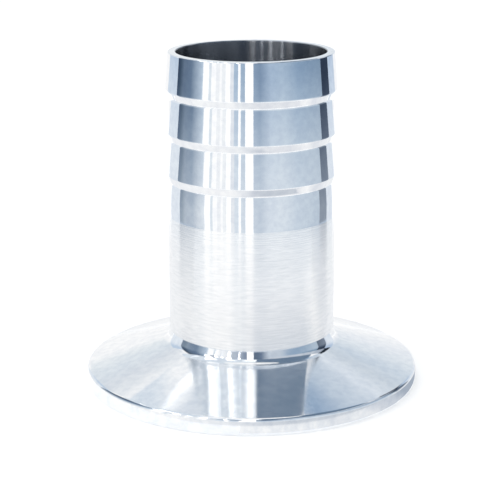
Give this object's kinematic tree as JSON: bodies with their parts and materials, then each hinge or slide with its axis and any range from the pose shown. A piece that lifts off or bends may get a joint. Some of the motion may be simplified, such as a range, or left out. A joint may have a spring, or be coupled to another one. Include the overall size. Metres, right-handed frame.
{
  "type": "sanitary clamp hose adapter",
  "caption": "One-piece turned stainless adapter with a clamp flange at one end and a barbed hose tail at the other, open straight through.",
  "frame": {"origin": "centre of the bore in the plane of the sealing face", "axes": "+Z along the bore, from the sealing face towards the hose end; X and Y are alike"},
  "size_m": [0.0506, 0.0506, 0.0503],
  "materials": {
    "stainless_steel": "polished on the flange, neck, barbs and bore, fine satin turning on the shank"
  },
  "bodies": {
    "root": {"hose_adapter": "stainless_steel"}
  },
  "joints": []
}
